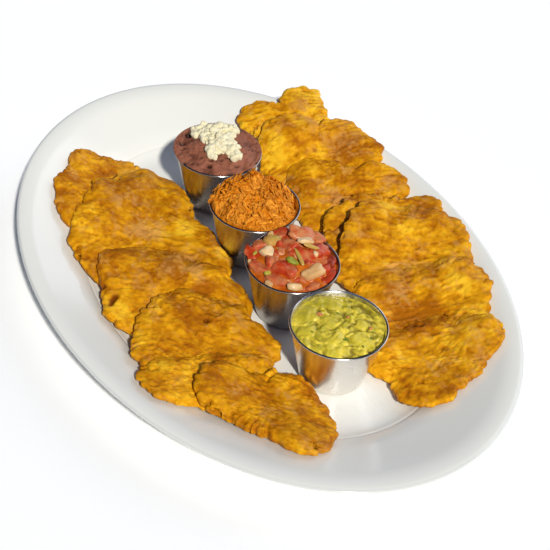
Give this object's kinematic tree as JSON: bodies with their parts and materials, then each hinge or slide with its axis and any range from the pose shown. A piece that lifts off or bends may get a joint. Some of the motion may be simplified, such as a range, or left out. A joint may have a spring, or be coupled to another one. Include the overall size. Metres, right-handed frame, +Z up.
{
  "type": "platter of tostones with filled sauce cups",
  "caption": "Oval china platter of fried smashed plantain slices shingled in rows, with steel sauce cups of beans and cheese, shredded meat, tomato salsa and guacamole down the middle.",
  "frame": {"origin": "on the table under the middle of the platter, the bottom centre of the bounding box", "axes": "+X along the platter's long axis, towards the guacamole cup; +Y across it, towards the right row of slices; +Z up"},
  "size_m": [0.424, 0.304, 0.0641],
  "materials": {
    "glazed_china": "white glaze, glossy, with fine cutlery scratches on the well",
    "steel": "thin pressed stainless steel, polished, with faint scratches",
    "fried_plantain": "stands in for twice-fried green plantain: golden, rough and slightly oily",
    "beans": "stands in for refried black beans: dense, soft and slightly moist",
    "cheese": "stands in for crumbled fresh white cheese: ivory, matt",
    "meat": "stands in for shredded meat in orange sauce: fibrous, moist",
    "pico": "stands in for diced tomato, onion and herbs in their juice: wet",
    "guacamole": "stands in for chunky mashed avocado: soft, slightly glossy"
  },
  "bodies": {
    "root": {"platter": "glazed_china", "cup_beans": "steel", "cup_meat": "steel", "cup_pico": "steel", "cup_guacamole": "steel", "refried_beans": "beans", "shredded_meat": "meat", "pico_de_gallo": "pico", "guacamole": "guacamole", "crumbled_cheese": "cheese", "toston_left_1": "fried_plantain", "toston_left_2": "fried_plantain", "toston_left_3": "fried_plantain", "toston_left_4": "fried_plantain", "toston_left_5": "fried_plantain", "toston_left_6": "fried_plantain", "toston_right_1": "fried_plantain", "toston_right_2": "fried_plantain", "toston_right_3": "fried_plantain", "toston_right_4": "fried_plantain", "toston_right_5": "fried_plantain", "toston_right_6": "fried_plantain", "toston_right_7": "fried_plantain"}
  },
  "joints": []
}
